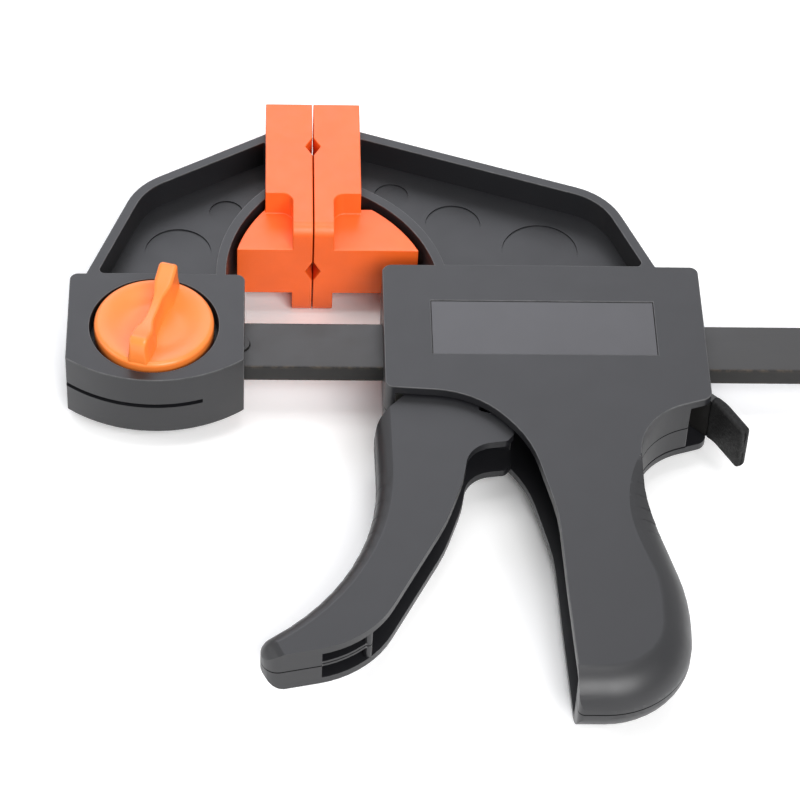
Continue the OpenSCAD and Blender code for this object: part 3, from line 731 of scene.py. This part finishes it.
def studio_sky():
    """World that lights the clamp from all round and looks white."""
    world = bpy.data.worlds.new("studio")
    world.use_nodes = True
    sky = world.node_tree
    back = sky.nodes["Background"]
    level = add(
        sky,
        "ShaderNodeMapRange",
        {"Value": seen_directly(sky), "To Min": SKY_LIT, "To Max": SKY_SEEN},
    )
    sky.links.new(level.outputs["Result"], back.inputs["Strength"])
    back.inputs["Color"].default_value = (1.0, 1.0, 1.0, 1.0)
    return world


def hang_softbox(name, spot, width, power, tint):
    """Square lamp at a spot, aimed at the clamp."""
    data = bpy.data.lights.new(name, "AREA")
    data.shape = "SQUARE"
    data.size = width
    data.energy = power
    data.color = tint
    lamp = bpy.data.objects.new(name, data)
    lamp.location = spot
    aim = Vector(SOFTBOX_AIM) - Vector(spot)
    lamp.rotation_euler = aim.to_track_quat("-Z", "Y").to_euler()
    bpy.context.scene.collection.objects.link(lamp)


def place_camera(lens):
    """Camera with a focal length in metres, squared up on the way it looks."""
    data = bpy.data.cameras.new("camera")
    data.sensor_width = 36.0
    data.lens = lens * 1000.0
    data.clip_start = 0.05
    data.clip_end = 20.0
    camera = bpy.data.objects.new("camera", data)
    forward = Vector(CAMERA_AHEAD).normalized()
    right = Vector(CAMERA_RIGHT)
    right = (right - forward * right.dot(forward)).normalized()
    up = right.cross(forward).normalized()
    pose = Matrix((right, up, -forward)).transposed().to_4x4()
    pose.translation = Vector(CAMERA_PLACE)
    camera.matrix_world = pose
    bpy.context.scene.collection.objects.link(camera)
    return camera


# ---------------------------------------------------------------- operators


class ClampStage(bpy.types.Operator):
    """Builds the floor, the lamps, the sky and the camera"""

    bl_idname = "clamp.stage"
    bl_label = "Stage"

    def execute(self, context):
        lay_floor()
        context.scene.world = studio_sky()
        for softbox in SOFTBOXES:
            hang_softbox(*softbox)
        context.scene.view_settings.view_transform = "Standard"
        context.scene.camera = place_camera(context.scene.clamp_sizes.lens)
        return {"FINISHED"}


class ClampHeads(bpy.types.Operator):
    """Builds the moulded heads and the trigger with softly rounded edges"""

    bl_idname = "clamp.heads"
    bl_label = "Heads and trigger"

    def execute(self, context):
        sizes = context.scene.clamp_sizes
        colours = context.scene.clamp_colours
        # wear pales the rounded edges: partly worn nylon, partly a painted highlight
        body = moulded("head_nylon", colours.body, 0.42, 2600.0, 0.00002, wear=0.7)
        parted = moulded("parted_nylon", colours.body, 0.42, 2600.0, 0.00002, wear=0.7, seam=True)
        for node in ("fixed_jaw", "housing_upper", "housing_lower", "trigger"):
            piece = smooth_copy(node, f"{node}_moulded", sizes.edge_round, 2, outside=True)
            settle(piece, node, body if node == "fixed_jaw" else parted)
        return {"FINISHED"}


class ClampPads(bpy.types.Operator):
    """Builds the two soft pads"""

    bl_idname = "clamp.pads"
    bl_label = "Pads"

    def execute(self, context):
        sizes = context.scene.clamp_sizes
        finish = rubber("pad_rubber", context.scene.clamp_colours.pad)
        for node in ("fixed_jaw_pad", "sliding_jaw_pad"):
            piece = smooth_copy(node, f"{node}_soft", sizes.pad_round, 3)
            settle(piece, node, finish)
        return {"FINISHED"}


class ClampKnob(bpy.types.Operator):
    """Builds the dished knob and its waisted grip"""

    bl_idname = "clamp.knob"
    bl_label = "Knob"

    def execute(self, context):
        low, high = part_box("knob")
        centre = ((low.x + high.x) / 2, (low.y + high.y) / 2)
        radius = (high.x - low.x) / 2
        rim_top, under, dish = 0.0127, 0.0054, 0.0014
        grip_turn, grip_half_length = math.radians(-14.8), 0.0172
        waist, end, saddle, sunk = 0.0014, 0.0028, 0.0034, 0.0002
        grip_floor = rim_top - dish - sunk
        finish = moulded("knob_plastic", context.scene.clamp_colours.knob, 0.34, 1800.0, 0.00001)
        disc = surface(
            "knob_disc",
            knob_disc(centre, radius, rim_top, low.z, under, dish),
            closed_u=True,
        )
        grip = surface(
            "knob_grip",
            knob_grip(
                centre, grip_turn, grip_half_length, waist, end, grip_floor, high.z, saddle
            ),
        )
        shape = bmesh.new()
        shape.from_mesh(close_up(disc).data)
        shape.from_mesh(close_up(grip).data)
        shape.to_mesh(disc.data)
        shape.free()
        bpy.data.objects.remove(grip)
        disc.name = "knob_moulded"
        settle(disc, "knob", finish)
        return {"FINISHED"}


class ClampBar(bpy.types.Operator):
    """Builds the flat steel bar with worn arrises"""

    bl_idname = "clamp.bar"
    bl_label = "Bar"

    def execute(self, context):
        sizes = context.scene.clamp_sizes
        colours = context.scene.clamp_colours
        finish = bar_steel("bar_blackened", colours.bar, colours.worn)
        piece = smooth_copy("bar", "bar_drawn", sizes.bar_round, 2)
        settle(piece, "bar", finish)
        finish_solid("bar_stop_pins", finish)
        return {"FINISHED"}


class ClampLever(bpy.types.Operator):
    """Builds the release lever's coated tail and finishes its steel"""

    bl_idname = "clamp.lever"
    bl_label = "Release lever"

    def execute(self, context):
        colours = context.scene.clamp_colours
        finish = dipped_coat("lever_coat", colours.coat)
        start, bend, tip = (0.11623, -0.02448), (0.1188, -0.027), (0.12475, -0.03753)
        bend_radius = 0.016
        half_thick, half_wide, edge_radius = 0.0017, 0.0079, 0.0011
        line = bent_line(start, bend, tip, bend_radius)
        piece = surface(
            "release_lever_dipped",
            dipped_tail(line, half_thick, half_wide, edge_radius, edge_radius),
            closed_v=True,
        )
        settle(close_up(piece), "release_lever_coat", finish)
        blackened = moulded("lever_blackened", colours.bar, 0.4, 700.0, 0.00003)
        finish_solid("release_lever", blackened)
        return {"FINISHED"}


class ClampLabel(bpy.types.Operator):
    """Finishes the bare label plate"""

    bl_idname = "clamp.label"
    bl_label = "Label plate"

    def execute(self, context):
        finish = moulded("label_plain", context.scene.clamp_colours.label, 0.3, 1500.0, 0.000003)
        piece = smooth_copy("label_plate", "label_bare", 0.0001, 2)
        settle(piece, "label_plate", finish)
        return {"FINISHED"}


class ClampInside(bpy.types.Operator):
    """Finishes the steel and the bearing frames inside the heads"""

    bl_idname = "clamp.inside"
    bl_label = "Inner parts"

    def execute(self, context):
        steel = bright_steel("zinc_steel")
        bearing = moulded("bearing_plastic", (0.7, 0.69, 0.64), 0.4, 1200.0, 0.00003)
        for node in STEEL_NODES:
            finish_solid(node, steel)
        for node in ("bar_guide_front", "bar_guide_rear"):
            finish_solid(node, bearing)
        return {"FINISHED"}


class ClampPanel(bpy.types.Panel):
    """Lists the clamp's pieces and the stage in the sidebar"""

    bl_idname = "VIEW3D_PT_clamp"
    bl_label = "Bar clamp"
    bl_space_type = "VIEW_3D"
    bl_region_type = "UI"
    bl_category = "Clamp"

    def draw(self, context):
        layout = self.layout
        for group in (context.scene.clamp_sizes, context.scene.clamp_colours):
            for name in group.bl_rna.properties.keys():
                if name not in ("rna_type", "name"):
                    layout.prop(group, name)
        for operator in OPERATORS:
            layout.operator(operator.bl_idname)


OPERATORS = (
    ClampStage,
    ClampHeads,
    ClampPads,
    ClampKnob,
    ClampBar,
    ClampLever,
    ClampLabel,
    ClampInside,
)


def register():
    for one in (ClampSizes, ClampColours, *OPERATORS, ClampPanel):
        bpy.utils.register_class(one)
    bpy.types.Scene.clamp_sizes = bpy.props.PointerProperty(type=ClampSizes)
    bpy.types.Scene.clamp_colours = bpy.props.PointerProperty(type=ClampColours)


def unregister():
    del bpy.types.Scene.clamp_colours
    del bpy.types.Scene.clamp_sizes
    for one in (ClampPanel, *reversed(OPERATORS), ClampColours, ClampSizes):
        bpy.utils.unregister_class(one)


def main():
    """Registers the classes and builds the stage and every piece."""
    register()
    bpy.ops.clamp.stage()
    bpy.ops.clamp.heads()
    bpy.ops.clamp.pads()
    bpy.ops.clamp.knob()
    bpy.ops.clamp.bar()
    bpy.ops.clamp.lever()
    bpy.ops.clamp.label()
    bpy.ops.clamp.inside()


if __name__ == "__main__":
    main()
